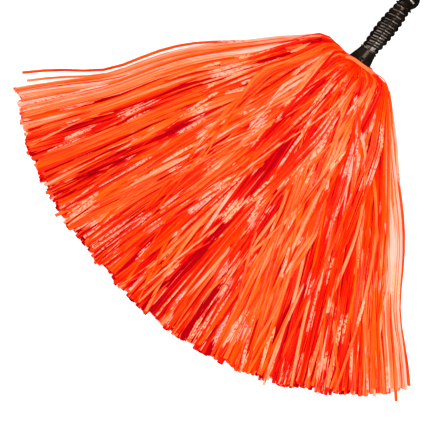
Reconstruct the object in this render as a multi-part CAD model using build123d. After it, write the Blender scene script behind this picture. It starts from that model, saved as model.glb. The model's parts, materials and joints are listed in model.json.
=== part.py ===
from build123d import *
import math
import os

# A one-handed rooter pom, lying flat: a moulded stick handle with a ball end, whose flared socket holds
# a wide fan of slit film streamers. The streamers are folded over a cross pin in the socket.
#
# Millimetres. +Z is up. The handle's axis runs along +Y, from the fan to the ball end. The origin is on
# the surface that the pom lies on, under the middle of the whole object.
#
# Handle pieces are first made round the Y axis with the pin's centre at the origin, and fringe pieces
# round the Z axis with the pin on it. "along" is a place on the handle's axis, measured from the pin.

# Handle: driving dimensions
rim_radius = 12.35  # outside of the socket's rim, which rests on the surface
rim_along = -4.5
neck_radius = 8.35  # where the flare meets the flange below the grip
neck_along = 11.2
flange_radius = 9.1
flange_thickness = 1.0
grip_radius = 10.2  # over the ribs, at the fattest place
grip_middle = 38.0
barrel_radius = 160.0  # the grip's lengthwise curve
grip_start = neck_along + flange_thickness
grip_end = 64.4
rib_lead = 11.4  # of each of the two spiral ribs, so ribs lie 5.7 apart
rib_starts = 2
rib_height = 1.3
rib_round = 2.5  # radius of the rib's section
rib_points_per_turn = 16
rib_end_gap = 1.0  # between a flange and the middle of a rib's end
rib_ends_sunk = 1.6  # each rib dives this deep at its ends, under the core's surface
rib_runout = 1.5  # over this stretch of the handle
bore_radius = 4.5
socket_mouth_radius = 10.9
socket_floor_radius = 6.6
socket_floor_along = 8.0
lip_radius = 0.5

# End knob
ball_radius = 10.0
ball_along = 74.0
knob_flange_radius = 9.0
knob_flange_thickness = 1.1
knob_neck_radius = 7.4
knob_edge = 0.3  # bevel of the knob's flange
spigot_length = 12.0
spigot_clearance = 0.05
spigot_lead_in = 0.5

# Cross pin and its cap, in counterbores on the socket's upper and lower sides
pin_radius = 1.6
pin_head_radius = 1.95
pin_head_thickness = 0.9
counterbore_radius = 2.5
counterbore_floor = 9.9  # height of the counterbore's floor over the handle's axis
cap_radius = 2.4
cap_thickness = 0.9
cap_bevel = 0.2
dimple_radius = 0.7

# Folded and gathered middles of the streamers
fold_radius = 4.6
fold_half_height = 5.0
fold_clearance = 0.06  # round the pin
gather_half_width = fold_radius
gather_to = -8.0  # from here the streamers splay
gather_end_radius = 12.3
gather_end_angle = 35.0
tie_thickness = 0.8
tie_width = 2.5
tie_middle = -3.1

# Streamer locks
lock_count_each_side = 3
root_radius = 14.5  # clears the rim, so that the fan can swing
fan_radius = 318.0
tip_angle = 47.0  # of the fan's edge, from straight down the axis
root_splay = 1.43  # how much further out the streamers point at their roots
splay_reach = 75.0  # over which they bend back
lower_gap = 0.5
upper_gap = 2.2  # the upper locks tip up side by side, which draws them together,
upper_gap_growth = 0.009  # so the gap widens by this much for each mm from the pin
layer_gap = 0.4
upper_shorter = 3.0
floor_contact_radius = 36.0
side_stations = 7

axis_height = rim_radius
half_root_height = 8.5
layer_heights = [(1.0, axis_height), (4.0, 8.6), (10.0, 6.0)]  # (radius in root radii, height) between layers
layer_tip_height = 4.2
top_heights = [(1.0, axis_height + half_root_height), (3.1, 21.5), (6.2, 18.5), (11.0, 14.0)]
top_tip_height = 9.0

handle_length = ball_along + ball_radius
pin_along_y = (fan_radius - handle_length) / 2  # puts the whole object's middle at Y = 0
handle_place = Location((0, pin_along_y, axis_height))
fringe_place = Location((0, pin_along_y, 0))
lock_numbers = range(-lock_count_each_side, lock_count_each_side + 1)
lock_total = len(lock_numbers)


def turned(outline):
    """The outline, drawn as (radius, along), turned round the handle's axis."""
    return revolve(make_face(outline), Axis.Y)


def crest(along):
    """Radius over the ribs: the grip is a long shallow barrel."""
    offset = along - grip_middle
    return grip_radius - (barrel_radius - math.sqrt(barrel_radius**2 - offset**2))


def handle_outside():
    """Flared socket, thin flange and the grip's core, from the rim to the knob."""
    core_start = crest(grip_start) - rib_height
    core_end = crest(grip_end) - rib_height
    flare_middle = ((rim_radius + neck_radius) / 2 - 0.2, (rim_along + neck_along) / 2)
    return Curve() + [
        Line((0, rim_along), (rim_radius - lip_radius, rim_along)),
        RadiusArc((rim_radius - lip_radius, rim_along), (rim_radius, rim_along + lip_radius), -lip_radius),
        ThreePointArc((rim_radius, rim_along + lip_radius), flare_middle, (neck_radius, neck_along)),
        Polyline(
            (neck_radius, neck_along),
            (flange_radius, neck_along),
            (flange_radius, grip_start),
            (core_start, grip_start),
        ),
        ThreePointArc(
            (core_start, grip_start),
            (grip_radius - rib_height, grip_middle),
            (core_end, grip_end),
        ),
        Polyline((core_end, grip_end), (0, grip_end), (0, rim_along)),
    ]


def handle_hollow():
    """The socket that the streamers fill, narrowing into the bore that takes the knob's spigot."""
    return Polyline(
        (0, rim_along),
        (socket_mouth_radius, rim_along),
        (socket_floor_radius, socket_floor_along),
        (bore_radius, socket_floor_along + socket_floor_radius - bore_radius),
        (bore_radius, grip_end),
        (0, grip_end),
        close=True,
    )


def rib(phase):
    """One spiral rib: a round bar sunk in the core, which dives under the surface at both ends."""
    first = grip_start + rib_end_gap
    last = grip_end - rib_end_gap
    steps = round((last - first) / rib_lead * rib_points_per_turn)
    points = []
    for step in range(steps + 1):
        along = first + (last - first) * step / steps
        from_end = min(along - first, last - along)
        sunk = rib_ends_sunk * max(0, 1 - from_end / rib_runout) ** 2
        radius = crest(along) - rib_round - sunk
        angle = 2 * math.pi * (along - grip_middle) / rib_lead + phase
        points.append((radius * math.sin(angle), along, radius * math.cos(angle)))
    path = Spline(*points)
    section = Plane(origin=path @ 0, z_dir=path % 0) * Circle(rib_round)
    return sweep(section, path, is_frenet=True)


def past_grip():
    """Space that the knob takes, which the ribs' ends are cut off at."""
    return Polyline(
        (0, grip_end),
        (rim_radius, grip_end),
        (rim_radius, grip_end + rib_round),
        (0, grip_end + rib_round),
        close=True,
    )


def grip_handle():
    solid = turned(handle_outside())
    for start in range(rib_starts):
        solid += rib(2 * math.pi * start / rib_starts + math.pi / 2)
    solid -= turned(past_grip())
    solid -= turned(handle_hollow())
    solid -= Cylinder(pin_radius, 4 * rim_radius)
    for side in (1, -1):
        recess = Cylinder(counterbore_radius, rim_radius)
        solid -= Pos(0, 0, side * (counterbore_floor + rim_radius / 2)) * recess
    return handle_place * solid


def end_knob():
    """Ball on a flanged plug, whose spigot fills the end of the grip's bore."""
    spigot_start = grip_end - spigot_length
    spigot_radius = bore_radius - spigot_clearance
    flange_end = grip_end + knob_flange_thickness
    plug = Polyline(
        (0, spigot_start),
        (spigot_radius - spigot_lead_in, spigot_start),
        (spigot_radius, spigot_start + 3 * spigot_lead_in),
        (spigot_radius, grip_end),
        (knob_flange_radius - knob_edge, grip_end),
        (knob_flange_radius, grip_end + knob_edge),
        (knob_flange_radius, flange_end - knob_edge),
        (knob_flange_radius - knob_edge, flange_end),
        (knob_neck_radius, flange_end),
        (knob_neck_radius, ball_along),
        (0, ball_along),
        close=True,
    )
    return handle_place * (turned(plug) + Pos(0, ball_along, 0) * Sphere(ball_radius))


def cross_pin():
    """Upright pin with a low domed head that is dimpled in the middle."""
    head_top = counterbore_floor + pin_head_thickness
    shaft_bottom = -counterbore_floor - cap_thickness
    shaft_length = counterbore_floor - shaft_bottom
    shaft = Pos(0, 0, shaft_bottom + shaft_length / 2) * Cylinder(pin_radius, shaft_length)
    head = Cylinder(pin_head_radius, pin_head_thickness)
    head = fillet(head.edges().sort_by(Axis.Z)[-1], pin_head_thickness / 2)
    head = Pos(0, 0, counterbore_floor + pin_head_thickness / 2) * head
    dimple = Pos(0, 0, head_top + dimple_radius / 2) * Sphere(dimple_radius)
    return handle_place * (shaft + head - dimple)


def pin_cap():
    """Push-on ring that keeps the pin's lower end in its counterbore."""
    ring = Cylinder(cap_radius, cap_thickness) - Cylinder(pin_radius, cap_thickness)
    ring = Pos(0, 0, -counterbore_floor - cap_thickness / 2) * ring
    outer_edge = ring.edges().filter_by(GeomType.CIRCLE).group_by(Axis.Z)[0].sort_by(SortBy.RADIUS)[-1]
    return handle_place * chamfer(outer_edge, cap_bevel)


def gather_plan():
    """Plan of the folded streamers round the pin, and of the gather that leaves the socket and splays."""
    corner_angle = math.radians(gather_end_angle)
    corner_x = gather_end_radius * math.sin(corner_angle)
    corner_y = -gather_end_radius * math.cos(corner_angle)
    half = gather_half_width
    outline = Line((-half, 0), (half, 0)) + ThreePointArc(
        (-corner_x, corner_y), (0, -gather_end_radius), (corner_x, corner_y)
    )
    for hand in (1, -1):
        outline += Polyline((hand * half, 0), (hand * half, gather_to), (hand * corner_x, corner_y))
    return make_face(outline) + Circle(fold_radius)


def streamer_fold():
    """All the streamers' middles, folded round the pin and gathered on their way out of the socket."""
    solid = Pos(0, 0, axis_height - fold_half_height) * extrude(gather_plan(), 2 * fold_half_height)
    solid -= Pos(0, 0, axis_height) * Cylinder(pin_radius + fold_clearance, 4 * fold_half_height)
    return fringe_place * solid


def binding_tie():
    """Band drawn tight round the gathered streamers in the socket's mouth, beyond which they splay."""
    outer = Box(2 * (gather_half_width + tie_thickness), tie_width, 2 * (fold_half_height + tie_thickness))
    outer = fillet(outer.edges().filter_by(Axis.Y), tie_thickness)
    inner = Box(2 * gather_half_width, tie_width, 2 * fold_half_height)
    return fringe_place * Pos(0, tie_middle, axis_height) * (outer - inner)


def strand_angle(place, radius):
    """Direction of a streamer, from straight down the axis. place runs from -1 to 1 across the fan."""
    return math.radians(place * tip_angle) * (1 + root_splay * math.exp(-radius / splay_reach))


def on_fan(radius, angle):
    return (radius * math.sin(angle), -radius * math.cos(angle))


def lock_plan(number, gap, gap_growth, outer_radius):
    """Plan of one lock: two curved sides that follow the streamers, and an arc at each end."""
    ratio = (outer_radius / root_radius) ** (1 / (side_stations - 1))
    radii = [root_radius * ratio**station for station in range(side_stations)]
    sides = []
    for hand in (-1, 1):
        place = (2 * number + hand) / lock_total
        side = []
        for radius in radii:
            half_gap = (gap + gap_growth * radius) / 2
            side.append(on_fan(radius, strand_angle(place, radius) - hand * half_gap / radius))
        sides.append(side)
    outline = Curve() + [Spline(*side) for side in sides]
    for radius, end in ((radii[0], 0), (radii[-1], -1)):
        middle = on_fan(radius, strand_angle(2 * number / lock_total, radius))
        outline += ThreePointArc(sides[0][end], middle, sides[1][end])
    return make_face(outline)


def heights(stations, tip_height, rise):
    """Points of a layer's surface, from the root to the tips."""
    points = [(root_radius * radii, height + rise) for radii, height in stations]
    return points + [(fan_radius, tip_height + rise)]


def lower_layer():
    """Ring of the lower layer: it rises from the floor to the roots in the socket's mouth."""
    top = heights(layer_heights, layer_tip_height, 0)
    root_bottom = (root_radius, axis_height - half_root_height)
    touch = (floor_contact_radius, 0)
    outline = Curve() + [
        Line(top[0], root_bottom),
        Spline(root_bottom, touch, tangents=[(1, -0.4), (1, 0)]),
        Line(touch, (fan_radius, 0)),
        Line((fan_radius, 0), top[-1]),
        Spline(*top),
    ]
    return revolve(make_face(Plane.XZ * outline), Axis.Z)


def upper_layer():
    """Ring of the upper layer, which lies on the lower one."""
    bottom = heights(layer_heights, layer_tip_height, layer_gap)
    top = heights(top_heights, top_tip_height, 0)
    outline = Curve() + [
        Line(bottom[0], top[0]),
        Spline(*top),
        Line(top[-1], bottom[-1]),
        Spline(*bottom),
    ]
    return revolve(make_face(Plane.XZ * outline), Axis.Z)


def lock(layer, plan):
    """One lock of streamers, cut out of its layer."""
    return fringe_place * (layer & extrude(plan, 4 * axis_height))


def lock_name(layer, number):
    if number == 0:
        return f"{layer}_lock_middle"
    side = "right" if number > 0 else "left"
    return f"{layer}_lock_{side}_{abs(number)}"


def all_nodes():
    nodes = {
        "grip_handle": grip_handle(),
        "end_knob": end_knob(),
        "cross_pin": cross_pin(),
        "pin_cap": pin_cap(),
        "streamer_fold": streamer_fold(),
        "binding_tie": binding_tie(),
    }
    lower = lower_layer()
    upper = upper_layer()
    for number in lock_numbers:
        lower_plan = lock_plan(number, lower_gap, 0, fan_radius)
        upper_plan = lock_plan(number, upper_gap, upper_gap_growth, fan_radius - upper_shorter)
        nodes[lock_name("lower", number)] = lock(lower, lower_plan)
        nodes[lock_name("upper", number)] = lock(upper, upper_plan)
    return nodes


os.makedirs("parts", exist_ok=True)
for name, shape in all_nodes().items():
    export_step(shape, f"parts/{name}.step")
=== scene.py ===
import json
import math

import bpy
import numpy as np
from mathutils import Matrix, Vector


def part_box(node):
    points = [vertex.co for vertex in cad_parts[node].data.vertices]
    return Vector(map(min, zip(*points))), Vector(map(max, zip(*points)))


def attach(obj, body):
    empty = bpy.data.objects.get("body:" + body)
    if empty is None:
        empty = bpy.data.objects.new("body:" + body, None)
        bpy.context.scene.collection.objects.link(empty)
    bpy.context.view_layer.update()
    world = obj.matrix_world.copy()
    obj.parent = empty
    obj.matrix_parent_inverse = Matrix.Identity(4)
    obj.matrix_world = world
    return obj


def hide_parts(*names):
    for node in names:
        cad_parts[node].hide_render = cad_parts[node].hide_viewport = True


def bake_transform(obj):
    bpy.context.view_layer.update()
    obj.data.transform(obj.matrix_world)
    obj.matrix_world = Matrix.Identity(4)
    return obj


# An orange rooter pom lying flat on a pale floor, fan combed out, seen from straight above.
# The frame gives the handle, its knob and its pin. The streamers are made here, as thin closed ribbons
# of film that run from the fold in the handle's socket to the ragged edge of the fan.

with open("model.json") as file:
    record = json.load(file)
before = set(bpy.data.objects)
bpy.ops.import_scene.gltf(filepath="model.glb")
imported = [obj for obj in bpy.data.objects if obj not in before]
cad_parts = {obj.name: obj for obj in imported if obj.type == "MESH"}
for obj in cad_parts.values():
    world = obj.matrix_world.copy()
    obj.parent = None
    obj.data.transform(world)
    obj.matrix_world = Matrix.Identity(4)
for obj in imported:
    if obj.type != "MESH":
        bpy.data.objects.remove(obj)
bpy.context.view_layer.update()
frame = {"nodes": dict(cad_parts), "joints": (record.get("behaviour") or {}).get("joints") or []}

MM = 0.001
random = np.random.default_rng(20)

# Where things are, from the frame
joints = {joint["name"]: joint for joint in frame["joints"]}
PIN = np.array(joints["fringe_swing"]["pos_m"])
FAN_RADIUS = PIN[1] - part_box("lower_lock_middle")[0].y
AXIS_HEIGHT = PIN[2]  # of the handle's axis, above the floor

# The fan of streamers. Distances are from the pin. Left is -X and right is +X, and places across the fan
# go from -1 at its left edge to 1 at its right edge.
LOCKS_EACH_SIDE = 3
LOCKS = 2 * LOCKS_EACH_SIDE + 1
TIP_ANGLE = math.radians(47)  # of the fan's edge, from straight down the axis
FAN_HALF_WIDTH = FAN_RADIUS * TIP_ANGLE  # along its ragged edge
START_HALF_WIDTH = 4.2 * MM  # of the bundle of streamers at the pin
MOUTH_HALF_WIDTH = 5.5 * MM  # of the bundle in the socket's mouth
MOUTH_CROWDING = 1.6  # how much sooner they reach the mouth's edges than the fan's
MOUTH_DEPTH = 8 * MM  # where they turn, in front of the pin
LEFT_SHOULDER = 40 * MM  # how far out the outermost streamers turn down
RIGHT_SHOULDER = 31 * MM
LEFT_RISE = -1.6 * MM  # of the shoulders past the pin, at the outermost
RIGHT_RISE = -1.3 * MM
SHOULDER_SLOPE = 5 * MM  # how much lower the inner ones turn
SHOULDER_SCATTER = 0.7 * MM
STRAIGHT_WITHIN = 5 * MM  # streamers whose shoulders are nearer the axis run straight out of the mouth
SIDEWAYS_BEYOND = 25 * MM  # streamers whose shoulders are farther out run out sideways first
STRAIGHT_DEPTH = 15 * MM  # how far in front of the pin the straight ones start down the fan
TURN_RADIUS = 14 * MM
LEFT_BULGE = 6.5 * MM  # of the fan's sides
RIGHT_BULGE = 4.5 * MM
BULGE_MIDDLE = 162 * MM  # its distance from the pin
BULGE_REACH = 55 * MM
WAIST = 5 * MM  # how far the sides come in again before the tips
WAIST_MIDDLE = 243 * MM
WAIST_REACH = 38 * MM
LEFT_LONGER = 13 * MM  # how much farther out the tips are at the left side than in the middle
RIGHT_LONGER = 3 * MM
TEETH = 120  # steps in the cut edge
TOOTH_DEPTH = 6.5 * MM
TUFT_RAGGED = 3 * MM  # how much shorter a tuft may be cut than its tooth

# The film
FILM_WIDTH = 3.2 * MM
NARROWEST, WIDEST = 0.94, 1.04  # of the streamers, as shares of that width
FILM_THICKNESS = 0.08 * MM
FILM_CROWN = 0.2 * MM  # how far a streamer's middle stands out from its edges
LOWER_STREAMERS = 800
UPPER_STREAMERS = 1100
LOOSE_STREAMERS = 170  # single ones on top
STATIONS = 26  # places along a streamer where its centre line is worked out
STATION_POWER = 1.5  # above 1, so that the stations are closer together near the pin
TUFT = 4  # streamers that lie side by side, as they were slit from one sheet
TUFT_SPACING = 2.4 * MM
CLOSEST, WIDEST_APART = 0.75, 1.2  # of the tufts' own spacings, as shares of that one
SPACING_SCATTER = 0.3 * MM
LENGTH_SCATTER = 0.5 * MM

# How the streamers lie. The pile's levels go from 0 at its underside to 1 at its top.
COMBED_WANDER = 0.13  # how far across the fan a tuft's tip is from its shoulder
CROSSING_WANDER = 0.6  # the same for a tuft that crosses the others
MOST_WANDER = 0.5
OUTERMOST_SHOULDER = 0.97  # place across the fan
TIP_SCATTER = 0.005  # across the fan, of the streamers in one tuft
SHOULDER_SPREAD = 0.03
TUFT_DRIFT = 7 * MM  # how far a tuft strays to its sides on its way
OWN_DRIFT = 0.4 * MM  # how far a streamer strays from its tuft
LOOSE_DRIFT = 15 * MM  # how far a loose streamer strays besides
SIDES_BEYOND = 0.65  # place across the fan: farther out, a loose streamer only strays inwards
DRIFT_START, DRIFT_FULL = 20 * MM, 80 * MM  # from the pin: they don't stray before the first
TUFT_SWELL = 0.2  # how far a tuft goes up and down in the pile
OWN_SWELL = 0.02
LEVEL_SCATTER = 0.02  # of the streamers in one tuft
TUFT_TWIST = 0.2  # how far a tuft rolls from side to side on its way, in radians like the next three
OWN_TWIST = 0.03
LEAN = 0.04  # of a streamer to one side, all along
DOME = 0.35  # how far the film tilts outwards towards the fan's sides
FLATTEST = 0.15  # place across the fan where it lies flat
GATHER_NARROWER = 0.45  # how much narrower the film is bunched at the pin
GATHER_REACH = 40 * MM  # how far from the pin it has its full width

# The film's colours: a higher tint is paler
PATCHES_ACROSS = 22  # how many painted highlight patches there is room for across half the fan
TUFT_TINT, OWN_TINT = 0.7, 0.3  # how much the tufts differ, and the streamers in one tuft
PILE_DEPTH_SHADE = 2.0  # painted shade: how much darker the deepest streamers are than the topmost ones
PLAIN_LEVEL = 0.75  # in the pile, where the painted depth shade changes nothing
LOOSE_PALER = 1.2  # how much paler the loose ones are
SIDE_LIGHT_THROUGH = 5.0  # painted light through the thin film at the fan's sides, with few others behind them
EDGE_START, EDGE_FULL = 0.84, 0.96  # places across the fan between which they get paler
OPEN_START, OPEN_FULL = 12 * MM, 42 * MM  # from the pin: nearer, the colours are more even and the painted highlights fade out

# Single streamers at the fan's sides: place of the tip, place of the shoulder, extra length in mm, tint
STRAYS = [
    (-1.05, -1.03, 5, 1.0),
    (-1.02, -1.0, 1, 2.6),
    (-0.994, -0.96, 14.5, 1.6),
    (1.007, 1.15, -4, 1.4),
    (0.985, 1.0, -7, 3.6),
    (0.952, 1.0, 9, 1.6),
]


def rising(value, start, end):
    """0 up to the start, 1 from the end on, and straight between them."""
    return np.clip((value - start) / (end - start), 0, 1)


def bell(value, middle, reach):
    """1 at the middle, falling smoothly to nothing on both sides."""
    return np.exp(-(((value - middle) / reach) ** 2))


def rounded(x, points):
    """The curve through points (x, y), with its corners rounded off."""
    places, values = np.array(points, float).T
    spread = np.array([-0.12, -0.06, 0, 0.06, 0.12])
    return np.mean([np.interp(x * (1 + s), places, values) for s in spread], axis=0)


def pile_bottom(radius):
    """Underside of the streamers, in mm, at a distance from the pin in mm: it comes down to the floor."""
    axis = AXIS_HEIGHT / MM
    return rounded(radius, [(0, axis - 4.2), (5, axis - 4.4), (12, 4.3), (20, 2.6), (38, 0.5), (330, 0.5)])


def pile_top(radius):
    """Top of the streamers, in mm: highest just past the socket's rim, and thin at the tips."""
    axis = AXIS_HEIGHT / MM
    points = [(0, axis + 4.2), (5, axis + 4.4), (11, 21), (16, 24.5), (30, 24.5), (45, 22)]
    return rounded(radius, points + [(90, 18), (160, 13), (250, 8.5), (330, 5.0)])


def pile_height(radius, tip, level):
    """Height above the floor at a level of the pile, which is thinner at the fan's sides."""
    bottom, top = pile_bottom(radius / MM), pile_top(radius / MM)
    thickness = 1 - 0.5 * np.clip(np.abs(tip[:, None]), 0, 1) ** 4 * rising(radius, 0, 60 * MM)
    return (bottom + level * (top - bottom) * thickness) * MM


def smooth_noise(count, waves, fall=1.0):
    """A smooth random curve along each of count streamers: waves is how many times it swings."""
    t = np.linspace(0, 1, STATIONS)
    total = np.zeros((count, STATIONS))
    for wave in range(1, waves + 1):
        phase = random.uniform(0, 2 * math.pi, (count, 1))
        size = random.normal(0, 1 / wave**fall, (count, 1))
        total += size * np.sin(math.pi * wave * t + phase)
    return total


class Streamers:
    """Centre lines, rolls, colours, widths and places in the film of a number of streamers."""

    def __init__(self, centre, roll, tint, width, film_place):
        self.parts = (centre, roll, tint, width, film_place)
        self.centre, self.roll, self.tint, self.width, self.film_place = self.parts

    def chosen(self, which):
        return Streamers(*[part[which] for part in self.parts])

    def with_more(self, other):
        return Streamers(*[np.concatenate(pair) for pair in zip(self.parts, other.parts)])

    def length(self):
        """Mean length along the centre lines."""
        steps = np.linalg.norm(np.diff(self.centre, axis=1), axis=2)
        return float(steps.sum(axis=1).mean())


def level_points(x, y):
    """Points in the plan, from an x and a y for each or one for all."""
    return np.stack(np.broadcast_arrays(x, y), axis=-1)


def along_corners(corners, share, rounding):
    """Places along straight runs between corners, with the turns rounded off. share goes from 0 to 1."""
    steps = np.diff(corners, axis=1)
    lengths = np.linalg.norm(steps, axis=2)
    ends = np.cumsum(lengths, axis=1)
    starts = ends - lengths
    distance = ends[:, -1:] * share
    reach = np.minimum(rounding, np.minimum(distance, ends[:, -1:] - distance))
    total = 0
    offsets = np.linspace(-1, 1, 9)
    for offset in offsets:
        there = (distance + offset * reach)[..., None]
        part = np.clip((there - starts[:, None]) / lengths[:, None], 0, 1)
        total = total + corners[:, :1] + np.einsum("nsr,nrc->nsc", part, steps)
    return total / len(offsets)


def fan_paths(tip, turn, length):
    """Paths seen from above: from the pin out of the mouth, sideways to a shoulder and down the fan.

    tip and turn are the places across the fan of the streamers' tips and of their shoulders."""
    count = len(tip)
    start_x = START_HALF_WIDTH * random.uniform(-1, 1, count)
    mouth_x = MOUTH_HALF_WIDTH * np.clip(turn * MOUTH_CROWDING, -1, 1)
    out = np.where(turn < 0, LEFT_SHOULDER, RIGHT_SHOULDER) * turn
    sideways = rising(np.abs(out), STRAIGHT_WITHIN, SIDEWAYS_BEYOND)
    sideways = sideways**2 * (3 - 2 * sideways)
    rise = np.where(turn < 0, LEFT_RISE, RIGHT_RISE)
    depth = SHOULDER_SLOPE * (1 - np.abs(turn)) - rise + random.normal(0, SHOULDER_SCATTER, count)
    depth = STRAIGHT_DEPTH * (1 - sideways) + depth * sideways
    angle = TIP_ANGLE * tip
    corners = np.stack(
        [
            level_points(start_x, 2 * MM),
            level_points(mouth_x, -MOUTH_DEPTH),
            level_points(out, -depth),
            level_points(length * np.sin(angle), -length * np.cos(angle)),
        ],
        axis=1,
    )
    share = np.linspace(0, 1, STATIONS)[None] ** STATION_POWER
    rounding = TURN_RADIUS * (0.4 + 0.6 * sideways[:, None])  # less for the straight ones
    path = along_corners(corners, share, rounding)
    radius = np.linalg.norm(path, axis=2)
    bulge = np.where(tip < 0, LEFT_BULGE, RIGHT_BULGE)[:, None] * bell(radius, BULGE_MIDDLE, BULGE_REACH)
    waist = WAIST * bell(radius, WAIST_MIDDLE, WAIST_REACH)
    aside = bulge * tip[:, None] ** 3 - waist * tip[:, None] ** 9
    across = np.stack([np.cos(angle), np.sin(angle)], axis=1)[:, None]
    return path + aside[..., None] * across, across


def tuft_places(tufts, tuft_size, crossing):
    """Places across the fan of the tufts' tips and of their shoulders."""
    half_tuft = TUFT_SPACING * tuft_size / 2 / FAN_HALF_WIDTH
    tip = random.uniform(half_tuft - 1, 1 - half_tuft, tufts)
    wander = np.where(random.uniform(0, 1, tufts) < crossing, CROSSING_WANDER, COMBED_WANDER)
    wander = random.normal(0, 1, tufts) * wander * (1 - 0.7 * np.abs(tip) ** 3)
    wander = np.clip(wander, -MOST_WANDER, MOST_WANDER)
    return tip, np.clip(tip + wander, -OUTERMOST_SHOULDER, OUTERMOST_SHOULDER)


def sideways_drift(tip, tuft, in_tuft):
    """How far each streamer lies to the side of its path, at its stations: less at the fan's sides."""
    count, tufts = len(tuft), tuft[-1] + 1
    spacing = TUFT_SPACING * random.uniform(CLOSEST, WIDEST_APART, tufts)[tuft] * in_tuft
    spacing += random.normal(0, SPACING_SCATTER, count)
    room = np.clip(1.1 - np.abs(tip) ** 3, 0.1, 1)[:, None]
    drift = smooth_noise(tufts, 2)[tuft] * TUFT_DRIFT + smooth_noise(count, 4) * OWN_DRIFT
    return drift * room + spacing[:, None]


def wide_swing(tip, turn, size):
    """A drift as wide as size. Near the fan's sides it only goes inwards, which keeps the outline clean."""
    swing = smooth_noise(len(tip), 2) * size
    at_side = np.maximum(np.abs(tip), np.abs(turn)) > SIDES_BEYOND
    inwards = np.where(at_side, -np.sign(tip + turn), 0)[:, None]
    return np.where(inwards == 0, swing, inwards * np.abs(swing))


def cut_lengths(tip, end, tuft):
    """Distances of the tips from the pin. end is the place across the fan where each streamer ends up."""
    tooth = np.clip((end + 1) / 2 * TEETH, 0, TEETH - 1).astype(int)
    short = random.uniform(0, TOOTH_DEPTH, TEETH)[tooth]
    short += random.uniform(0, TUFT_RAGGED, tuft[-1] + 1)[tuft]
    left = np.clip(-0.85 - 2.4 * tip, 0, 1)  # from a third to three quarters of the way out to the left
    longer = LEFT_LONGER * left + RIGHT_LONGER * rising(tip, 0, 0.5)
    return FAN_RADIUS + longer - short + random.normal(0, LENGTH_SCATTER, len(tip))


def film_rolls(tip, tuft):
    """How far each streamer leans over at its stations: outwards, towards the fan's sides."""
    roll = smooth_noise(tuft[-1] + 1, 8, 0.5)[tuft] * TUFT_TWIST
    roll += smooth_noise(len(tip), 8, 0.5) * OWN_TWIST
    roll += random.normal(0, LEAN, (len(tip), 1)) + DOME * (tip[:, None] - FLATTEST)
    return roll


def film_tints(tip, tuft, level):
    """The streamers' tints: painted shade deep in the pile, painted light through the thin fan sides."""
    tint = random.normal(0, TUFT_TINT, tuft[-1] + 1)[tuft] + random.normal(0, OWN_TINT, len(tip))
    # painted shade: the film is darker deeper in the pile
    tint += PILE_DEPTH_SHADE * (level - PLAIN_LEVEL)
    # painted light: the floor's light showing through the thin film at the fan's sides
    tint += SIDE_LIGHT_THROUGH * rising(np.abs(tip), EDGE_START, EDGE_FULL) * random.uniform(0.3, 1, len(tip))
    return tint


def fan_streamers(count, tuft_size, low_level, high_level, crossing, paler=0.0, strays=(), swing_size=0):
    """Streamers combed into the fan, between two levels of the pile, and the places of their tips.

    tuft_size streamers lie side by side, as they were slit from one sheet. crossing is the share of tufts
    whose shoulders are well away from their tips, so that they cross the others. paler is added to their
    tints. The first few take their places from strays. swing_size is how far they drift besides."""
    tufts = count // tuft_size
    tuft = np.arange(count) // tuft_size
    in_tuft = np.arange(count) % tuft_size - (tuft_size - 1) / 2
    tuft_tip, tuft_turn = tuft_places(tufts, tuft_size, crossing)
    tip = tuft_tip[tuft] + random.normal(0, TIP_SCATTER, count)
    turn = tuft_turn[tuft] + random.normal(0, SHOULDER_SPREAD, count)
    drift = sideways_drift(tip, tuft, in_tuft)
    if swing_size:
        drift += wide_swing(tip, turn, swing_size)
    length = cut_lengths(tip, tip + drift[:, -1] / FAN_HALF_WIDTH, tuft)
    for index, (stray_tip, stray_turn, longer, _) in enumerate(strays):
        tip[index], turn[index] = stray_tip, stray_turn
        length[index] = FAN_RADIUS + longer * MM
        drift[index] = 0
    path, across = fan_paths(tip, turn, length)
    radius = np.linalg.norm(path, axis=2)
    path = path + (drift * rising(radius, DRIFT_START, DRIFT_FULL))[..., None] * across
    radius = np.linalg.norm(path, axis=2)
    level = random.uniform(low_level, high_level, tufts)[tuft] + random.normal(0, LEVEL_SCATTER, count)
    swell = smooth_noise(tufts, 5)[tuft] * TUFT_SWELL + smooth_noise(count, 5) * OWN_SWELL
    levels = np.clip(level[:, None] + swell, low_level * 0.8, min(high_level * 1.1, 1.04))
    height = pile_height(radius, tip, levels)
    centre = np.concatenate([path + PIN[:2], height[..., None]], axis=2)
    roll = film_rolls(tip, tuft)
    tint = film_tints(tip, tuft, level) + paler
    tint[: len(strays)] = [stray[3] for stray in strays]
    width = FILM_WIDTH * random.uniform(NARROWEST, WIDEST, count)
    sheet = (tuft_tip * PATCHES_ACROSS + random.normal(0, 0.3, tufts))[tuft]
    film_place = np.stack([random.uniform(0, 0.02, tufts)[tuft], in_tuft * FILM_WIDTH, sheet], axis=1)
    return Streamers(centre, roll, tint, width, film_place), tip


def ribbon_points(streamers, upright, narrowing):
    """Four points round each station: one edge, the top, the other edge and the underside."""
    centre, roll = streamers.centre.copy(), streamers.roll
    along = np.gradient(centre, axis=1)
    along /= np.linalg.norm(along, axis=2, keepdims=True)
    level = np.cross(along, upright)
    level /= np.linalg.norm(level, axis=2, keepdims=True)
    up = np.cross(level, along)
    cosine, sine = np.cos(roll)[..., None], np.sin(roll)[..., None]
    side = level * cosine + up * sine
    face = up * cosine - level * sine
    half = (streamers.width[:, None] / 2 * narrowing)[..., None]
    crown = random.choice([-1, 1], (len(centre), 1, 1)) * FILM_CROWN
    lowest = half[..., 0] * np.abs(np.sin(roll)) + 2 * FILM_CROWN  # so that no edge is in the floor
    centre[..., 2] = np.maximum(centre[..., 2], lowest)
    ring = [
        centre - side * half,
        centre + face * (crown + FILM_THICKNESS / 2),
        centre + side * half,
        centre + face * (crown - FILM_THICKNESS / 2),
    ]
    return np.stack(ring, axis=2)


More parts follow.
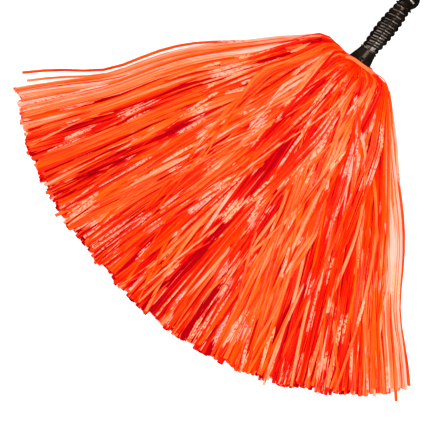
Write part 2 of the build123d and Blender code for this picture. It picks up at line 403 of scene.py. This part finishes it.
def ribbon_faces(count, stations):
    """Four-cornered faces of count closed ribbons, which have four points at each station."""
    first = (np.arange(count) * stations * 4)[:, None, None]
    station = (np.arange(stations - 1) * 4)[None, :, None]
    corner = np.arange(4)[None, None, :]
    a = first + station + corner
    b = first + station + (corner + 1) % 4
    sides = np.stack([a, b, b + 4, a + 4], axis=-1).reshape(-1, 4)
    start = first[:, 0] + np.array([3, 2, 1, 0])
    end = first[:, 0] + (stations - 1) * 4 + np.array([0, 1, 2, 3])
    return np.concatenate([sides, start, end])


def film_places(streamers):
    """Where each point is in the flat film: along it, across it, and in which sheet."""
    count, stations = streamers.centre.shape[:2]
    steps = np.linalg.norm(np.diff(streamers.centre, axis=1), axis=2)
    run = np.concatenate([np.zeros((count, 1)), np.cumsum(steps, axis=1)], axis=1)
    place = np.empty((count, stations, 4, 3))
    place[:] = streamers.film_place[:, None, None]
    place[..., 0] += run[..., None]
    place[..., 1] += np.array([-0.5, 0, 0.5, 0]) * FILM_WIDTH
    return place


def add_attribute(mesh, name, kind, values):
    """Give each of the mesh's points a number or a vector, for its material."""
    data = np.asarray(values).reshape(-1).astype(np.float32)
    field = "vector" if kind == "FLOAT_VECTOR" else "value"
    mesh.attributes.new(name, kind, "POINT").data.foreach_set(field, data)


def ribbons(name, streamers, upright=(0, 0, 1), gathered=True):
    """One mesh of thin closed ribbons. Gathered ones are narrower near the pin, and open from there."""
    count, stations = streamers.centre.shape[:2]
    from_pin = np.linalg.norm(streamers.centre[..., :2] - PIN[:2], axis=2)
    narrowing = 1 - GATHER_NARROWER * (1 - rising(from_pin, 0, GATHER_REACH)) * gathered
    opened = rising(from_pin, OPEN_START, OPEN_FULL) * gathered
    points = ribbon_points(streamers, upright, narrowing)
    mesh = bpy.data.meshes.new(name)
    mesh.from_pydata(points.reshape(-1, 3), [], ribbon_faces(count, stations))
    mesh.shade_smooth()
    mesh.set_sharp_from_angle(angle=math.radians(60))
    add_attribute(mesh, "tint", "FLOAT", np.repeat(streamers.tint, stations * 4))
    add_attribute(mesh, "film", "FLOAT_VECTOR", film_places(streamers))
    add_attribute(mesh, "opened", "FLOAT", np.repeat(opened.reshape(-1), 4))
    piece = bpy.data.objects.new(name, mesh)
    bpy.context.scene.collection.objects.link(piece)
    piece.data.materials.append(film_material())
    return piece


class Nodes:
    """Short way to build a material's node tree."""

    def __init__(self, name):
        self.material = bpy.data.materials.new(name)
        self.material.use_nodes = True
        self.tree = self.material.node_tree
        self.shader = self.tree.nodes["Principled BSDF"]

    def add(self, kind, inputs=None, **settings):
        node = self.tree.nodes.new(kind)
        for key, value in settings.items():
            setattr(node, key, value)
        for key, value in (inputs or {}).items():
            if isinstance(value, bpy.types.NodeSocket):
                self.tree.links.new(value, node.inputs[key])
            else:
                node.inputs[key].default_value = value
        return node

    def math(self, operation, a, b=0.0, c=0.0):
        return self.add("ShaderNodeMath", {0: a, 1: b, 2: c}, operation=operation).outputs[0]

    def scaled(self, vector, *scale):
        return self.add("ShaderNodeMapping", {"Vector": vector, "Scale": scale}).outputs[0]

    def mixed(self, share, a, b):
        node = self.add("ShaderNodeMix", {0: share, 6: a, 7: b}, data_type="RGBA")
        return node.outputs[2]

    def mapped(self, value, low, high, to_low=0.0, to_high=1.0):
        inputs = {"Value": value, "From Min": low, "From Max": high, "To Min": to_low, "To Max": to_high}
        return self.add("ShaderNodeMapRange", inputs).outputs[0]

    def noise(self, vector, scale, detail=2.0, roughness=0.5):
        inputs = {"Vector": vector, "Scale": scale, "Detail": detail, "Roughness": roughness}
        return self.add("ShaderNodeTexNoise", inputs).outputs[0]

    def ramp(self, value, stops):
        node = self.add("ShaderNodeValToRGB", {"Fac": value})
        ramp = node.color_ramp
        while len(ramp.elements) < len(stops):
            ramp.elements.new(0.5)
        for element, (place, colour) in zip(ramp.elements, stops):
            element.position = place
            element.color = (*colour, 1)
        return node.outputs[0]

    def set(self, **values):
        for name, value in values.items():
            socket = self.shader.inputs[name.replace("_", " ")]
            if isinstance(value, bpy.types.NodeSocket):
                self.tree.links.new(value, socket)
            else:
                socket.default_value = value


FILM_COLOURS = [  # from the darkest shade to the palest, in linear red, green and blue
    (0.0, (0.28, 0.0, 0.003)),
    (0.2, (0.66, 0.006, 0.001)),
    (0.36, (1.0, 0.026, 0.0)),
    (0.56, (1.0, 0.072, 0.001)),
    (0.8, (1.0, 0.16, 0.06)),
    (1.0, (0.93, 0.30, 0.24)),
]


def film_shade(n, film, tint, opened):
    """How pale the film is: its tint, painted soft shadows, painted shade at the cut edges, and darker
    ends.

    Also gives the painted edge shade, which grows near the cut edge of its streamer and of its tuft."""
    along, across = n.add("ShaderNodeSeparateXYZ", {"Vector": film}).outputs[:2]
    tuft_half = TUFT * FILM_WIDTH / 2
    in_film = n.math("ABSOLUTE", n.math("WRAP", across, -0.5 * FILM_WIDTH, 0.5 * FILM_WIDTH))
    # painted shade where the strips overlap: darker along each streamer's cut edges, more along each tuft's
    film_edge_shade = n.mapped(in_film, 0.38 * FILM_WIDTH, 0.5 * FILM_WIDTH, 0.0, 1.4)
    tuft_edge_shade = n.mapped(n.math("ABSOLUTE", across), tuft_half - 1.0 * MM, tuft_half, 0.0, 3.4)
    edge = n.math("ADD", film_edge_shade, tuft_edge_shade)
    tint = n.math("MULTIPLY", tint, n.mapped(opened, 0.0, 1.0, 0.45, 1.0))
    tint = n.math("SUBTRACT", tint, n.mapped(along, 200 * MM, 300 * MM, 0.0, 0.5))
    shadow = n.noise(n.scaled(film, 20, 90, 1), 1.0, 2.0)
    tint = n.math("ADD", tint, n.mapped(shadow, 0.3, 0.7, -0.7, 0.7))
    return n.math("SUBTRACT", tint, edge), edge


def film_material():
    """Glossy orange polyethylene film, which varies from streamer to streamer and along each."""
    if "orange_film" in bpy.data.materials:
        return bpy.data.materials["orange_film"]
    n = Nodes("orange_film")
    film = n.add("ShaderNodeAttribute", attribute_name="film").outputs["Vector"]
    tint = n.add("ShaderNodeAttribute", attribute_name="tint").outputs["Fac"]
    opened = n.add("ShaderNodeAttribute", attribute_name="opened").outputs["Fac"]
    shade, edge = film_shade(n, film, tint, opened)
    colour = n.ramp(n.mapped(shade, -1.5, 3.5), FILM_COLOURS)
    broad = n.noise(n.scaled(film, 18, 45, 1), 1.0, 1.0)
    # painted highlights: pale milky patches, narrower than the film and broken up by small dots
    painted_highlight = n.mapped(n.math("SUBTRACT", broad, n.math("MULTIPLY", edge, 0.04)), 0.6, 0.63)
    painted_highlight = n.math("MULTIPLY", painted_highlight, opened)
    dots = n.noise(n.scaled(film, 420, 420, 1), 1.0, 1.0)
    speckled = n.mapped(dots, 0.40, 0.46, 0.1, 1.0)
    hue = n.noise(n.scaled(film, 5, 5, 2), 1.0, 1.0)
    highlight_peach = n.ramp(hue, [(0.4, (1.0, 0.26, 0.13)), (0.6, (1.0, 0.24, 0.18))])
    pale = n.mixed(n.math("MULTIPLY", painted_highlight, speckled), colour, highlight_peach)
    crinkle = n.noise(n.scaled(film, 240, 160, 5), 1.0, 1.0)
    bump = n.add("ShaderNodeBump", {"Height": crinkle, "Strength": 0.6, "Distance": 0.25 * MM})
    n.set(
        Base_Color=pale,
        Roughness=n.mapped(broad, 0.3, 0.7, 0.12, 0.22),
        Specular_Tint=(1.0, 0.82, 0.62, 1),
        Specular_IOR_Level=n.mapped(shade, -0.8, 0.8, 0.0, 0.08),
        Normal=bump.outputs[0],
        IOR=1.5,
    )
    return n.material


def lock_side(number):
    """A lock's place as its nodes are named: numbers below 0 are on the left."""
    if number == 0:
        return "middle"
    return f"{'right' if number > 0 else 'left'}_{abs(number)}"


def lower_body(number):
    """The body that a lower lock belongs to. The middle one is the fringe's core."""
    return "fringe_core" if number == 0 else f"lower_{lock_side(number)}"


def declare(streamers):
    """Flat size of a lock, film slit into streamers: as wide as all, as long as their mean. Nothing uses
    it.
    """
    flat = (float(streamers.width.sum()), streamers.length())


def make_lower_locks():
    """The lower streamers, cut up at the middles of the locks, so that they spread as one fan."""
    streamers, tip = fan_streamers(LOWER_STREAMERS, TUFT, 0.0, 0.55, crossing=0.2)
    for number in range(-LOCKS_EACH_SIDE - 1, LOCKS_EACH_SIDE + 1):
        start, end = 2 * number / LOCKS, 2 * (number + 1) / LOCKS
        outer_left = number < -LOCKS_EACH_SIDE
        outer_right = number == LOCKS_EACH_SIDE
        after_start = (tip >= start) | outer_left
        before_end = (tip < end) | outer_right
        chosen = streamers.chosen(after_start & before_end)
        index = number + LOCKS_EACH_SIDE + 2
        piece = ribbons(f"lower_streamers_{index}", chosen)
        nearest = number if number >= 0 else number + 1
        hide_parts(f"lower_lock_{lock_side(nearest)}")
        declare(chosen)
        if outer_left or outer_right:
            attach(piece, lower_body(nearest))
            continue
        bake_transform(piece)


def make_upper_locks():
    """The upper streamers, one piece a lock."""
    streamers, tip = fan_streamers(UPPER_STREAMERS, TUFT, 0.45, 1.0, crossing=0.4, strays=STRAYS)
    loose_look = {"paler": LOOSE_PALER, "swing_size": LOOSE_DRIFT}
    loose, loose_tip = fan_streamers(LOOSE_STREAMERS, 1, 0.9, 1.0, crossing=0.4, **loose_look)
    streamers = streamers.with_more(loose)
    tip = np.concatenate([tip, loose_tip])
    for number in range(-LOCKS_EACH_SIDE, LOCKS_EACH_SIDE + 1):
        after_start = (tip >= (2 * number - 1) / LOCKS) | (number == -LOCKS_EACH_SIDE)
        before_end = (tip < (2 * number + 1) / LOCKS) | (number == LOCKS_EACH_SIDE)
        chosen = streamers.chosen(after_start & before_end)
        piece = ribbons(f"upper_streamers_{lock_side(number)}", chosen)
        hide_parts(f"upper_lock_{lock_side(number)}")
        declare(chosen)
        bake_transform(piece)


def smooth_curve(points, stations=STATIONS):
    """A smooth centre line through a few points (x, y from the pin, height), in mm."""
    points = np.array(points, float)
    steps = np.linalg.norm(np.diff(points, axis=0), axis=1)
    distance = np.concatenate([[0], np.cumsum(steps)])
    place = np.linspace(0, distance[-1], stations)
    slopes = np.gradient(points, distance, axis=0)
    index = np.clip(np.searchsorted(distance, place, side="right") - 1, 0, len(points) - 2)
    span = (distance[index + 1] - distance[index])[:, None]
    t = (place - distance[index])[:, None] / span
    early, late = points[index], points[index + 1]
    curve = early * (2 * t**3 - 3 * t**2 + 1) + late * (3 * t**2 - 2 * t**3)
    curve += slopes[index] * span * (t**3 - 2 * t**2 + t) + slopes[index + 1] * span * (t**3 - t**2)
    return curve * MM + [PIN[0], PIN[1], 0]


def hand_laid(curves, roll, tint, width):
    """Streamers from centre lines that are given one by one."""
    count = len(curves)
    rolls = np.zeros((count, len(curves[0]))) + np.reshape(roll, (-1, 1))
    tints = tint + random.normal(0, 0.4, count)
    film_place = random.uniform(0, 0.3, (count, 3)) * [1, 0, 10]
    return Streamers(np.array(curves), rolls, tints, np.full(count, width), film_place)


def make_strap():
    """The few streamers that cross over the socket's rim, and two that loop out loosely to its right."""
    across = [(-20, -13, 21), (-14, -7.6, 23.6), (-7, -4.9, 26), (1, -4.5, 26.5), (9, -4.0, 26)]
    across += [(16, -3.5, 25), (22, -3.9, 23.5), (27, -8, 20)]
    curves = []
    for shift, lift in ((0, 0), (-0.7, -0.3), (0.4, -0.3), (-0.2, -0.6)):
        curves.append(smooth_curve([(x, y + shift, z + lift) for x, y, z in across]))
    crossing = len(curves)
    loop = [(9, -9, 17), (16, -4.2, 24), (22, -2.2, 25), (28, -1.8, 24)]
    loop += [(35, -4.6, 22), (43, -11, 19), (53, -21, 16)]
    flap = [(5, -10, 14), (8, -4.4, 21), (11, -1.5, 21.5), (13.5, -1.0, 18.5)]
    flap += [(15.5, -3.5, 17), (17, -8, 16)]
    curves += [smooth_curve(loop), smooth_curve(flap)]
    tints = np.array([4.6] * crossing + [1.0, -3.6])
    rolls = [0.5] * crossing + [1.1, 0.9]
    streamers = hand_laid(curves, rolls, tints, 0.85 * FILM_WIDTH)
    piece = ribbons("strap_streamers", streamers, gathered=False)
    declare(streamers)
    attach(piece, "fringe_core")


def make_fold():
    """Middles of the streamers, folded round the pin, and the gather that runs out through the tie."""
    curves = []
    axis = AXIS_HEIGHT / MM
    for tier in (-3.4, -1.2, 1.1, 3.3):
        for radius in np.arange(2.0, 4.5, 0.35):
            z = axis + tier + random.uniform(-0.2, 0.2)
            half = radius * 0.7
            points = [(-1.4 * radius, -9.5, z), (-radius, -3, z), (-radius, 0, z), (-half, half, z)]
            points += [(0, radius, z), (half, half, z), (radius, 0, z), (radius, -3, z)]
            points.append((1.4 * radius, -9.5, z))
            curves.append(smooth_curve(points))
    streamers = hand_laid(curves, math.pi / 2, 0.0, FILM_WIDTH)
    piece = ribbons("folded_streamers", streamers, gathered=False)
    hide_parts("streamer_fold")
    declare(streamers)
    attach(piece, "fringe_core")


def make_tie():
    """Turns of film drawn round the gather in the socket's mouth, each a little outside the one before."""
    turns, steps_a_turn = 3, 16
    inset = 0.6  # of the first turn from the CAD tie's outside, in mm
    axis = AXIS_HEIGHT / MM
    low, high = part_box("binding_tie")
    half_width, half_height = high.x / MM - inset, high.z / MM - inset - axis
    middle = ((low.y + high.y) / 2 - PIN[1]) / MM
    points = []
    for step in range(turns * steps_a_turn + 1):
        angle = 2 * math.pi * step / steps_a_turn + math.pi / 4
        corner = 1 / max(abs(math.cos(angle)), abs(math.sin(angle))) ** 0.75
        grow = 0.08 * step / steps_a_turn
        x = (half_width + grow) * corner * math.cos(angle)
        z = (half_height + grow) * corner * math.sin(angle)
        points.append((x, middle + 0.3 * math.sin(step), axis + z))
    streamers = hand_laid([smooth_curve(points, 8 * len(points) // 3)], math.pi / 2, 1.0, 2.4 * MM)
    piece = ribbons("tie_film", streamers, upright=(0, 1, 0), gathered=False)
    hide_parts("binding_tie")
    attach(piece, "fringe_core")


DARKEST_PLASTIC = (0.0025, 0.0018, 0.0014)
LIGHTEST_PLASTIC = (0.010, 0.007, 0.005)


def handle_plastic(name, roughness, grain, lightness=1.0):
    """Moulded black plastic with a fine grain, a little brown."""
    n = Nodes(name)
    place = n.add("ShaderNodeTexCoord").outputs["Object"]
    clouds = n.noise(place, 90.0, 3.0)
    dark = tuple(part * lightness for part in DARKEST_PLASTIC)
    light = tuple(part * lightness for part in LIGHTEST_PLASTIC)
    fine = n.noise(place, 1400.0, 2.0)
    bump = n.add("ShaderNodeBump", {"Height": fine, "Strength": grain, "Distance": 0.06 * MM})
    n.set(
        Base_Color=n.ramp(clouds, [(0.3, dark), (0.7, light)]),
        Roughness=n.mapped(clouds, 0.3, 0.7, roughness - 0.05, roughness + 0.06),
        Normal=bump.outputs[0],
        Specular_Tint=(1.0, 0.86, 0.74, 1),
        Specular_IOR_Level=0.68,
        IOR=1.5,
    )
    return n.material


def paint(node, material):
    """Give a CAD node its better material."""
    for slot in frame["nodes"][node].material_slots:
        slot.material = material


def finish_handle():
    """Satin handle, glossier knob, darker pin and dull cap."""
    satin = handle_plastic("black_plastic_satin", 0.21, 0.4)
    gloss = handle_plastic("black_plastic_gloss", 0.14, 0.15)
    paint("grip_handle", satin)
    paint("end_knob", gloss)
    paint("cross_pin", handle_plastic("pin_plastic", 0.1, 0.1, lightness=0.3))
    paint("pin_cap", handle_plastic("cap_plastic", 0.35, 0.4))


def make_floor():
    """A pale floor, eight metres each way, that glows a little and doesn't show in the plastic's shine."""
    half = 4.0
    corners = [(-half, -half, 0), (half, -half, 0), (half, half, 0), (-half, half, 0)]
    mesh = bpy.data.meshes.new("floor")
    mesh.from_pydata(corners, [], [(0, 1, 2, 3)])
    floor = bpy.data.objects.new("floor", mesh)
    bpy.context.scene.collection.objects.link(floor)
    n = Nodes("pale_floor")
    n.set(Base_Color=(0.8, 0.8, 0.8, 1), Roughness=0.8)
    n.set(Emission_Color=(1, 1, 1, 1), Emission_Strength=0.4)
    floor.data.materials.append(n.material)
    floor.visible_glossy = False


def area_light(name, place, size, power, towards, colour=(1, 1, 1)):
    """A rectangular softbox that faces a point."""
    light = bpy.data.lights.new(name, "AREA")
    light.shape = "RECTANGLE"
    light.size, light.size_y = size
    light.energy = power
    light.color = colour
    lamp = bpy.data.objects.new(name, light)
    lamp.location = place
    lamp.rotation_euler = (Vector(towards) - Vector(place)).to_track_quat("-Z", "Y").to_euler()
    bpy.context.scene.collection.objects.link(lamp)


def make_light():
    """Even white light from all round, and four softboxes that shine in the film and the plastic."""
    world = bpy.data.worlds.new("studio")
    world.use_nodes = True
    background = world.node_tree.nodes["Background"]
    background.inputs["Color"].default_value = (1, 1, 1, 1)
    background.inputs["Strength"].default_value = 0.72
    bpy.context.scene.world = world
    world.cycles_visibility.glossy = False
    middle = (0, -0.03, 0)
    area_light("key_softbox", (0.5, 0.0, 1.9), (0.35, 0.6), 13, middle)
    area_light("left_softbox", (-1.1, 0.1, 1.0), (0.45, 2.2), 18, middle)
    area_light("right_softbox", (1.2, -0.1, 1.3), (0.5, 2.0), 25, middle)
    area_light("far_softbox", (0.05, 1.1, 1.9), (1.2, 0.9), 11, middle, (1.0, 0.78, 0.55))


def make_camera():
    """Straight above, turned so that the handle points to the picture's upper right."""
    camera = bpy.data.cameras.new("camera")
    camera.sensor_width = 36
    height = 1.97
    seen = 408.5 * MM  # the picture's width, on the pom
    camera.lens = camera.sensor_width * (height - AXIS_HEIGHT) / seen
    camera.clip_end = 20
    eye = bpy.data.objects.new("camera", camera)
    eye.location = (PIN[0] - 16.2 * MM, PIN[1] - 201.5 * MM, height)
    eye.rotation_euler = (0, 0, math.radians(38.7))
    bpy.context.scene.collection.objects.link(eye)
    bpy.context.scene.camera = eye


make_camera()
make_light()
make_floor()
finish_handle()
make_lower_locks()
make_upper_locks()
make_strap()
make_fold()
make_tie()
bpy.context.scene.view_settings.view_transform = "Standard"
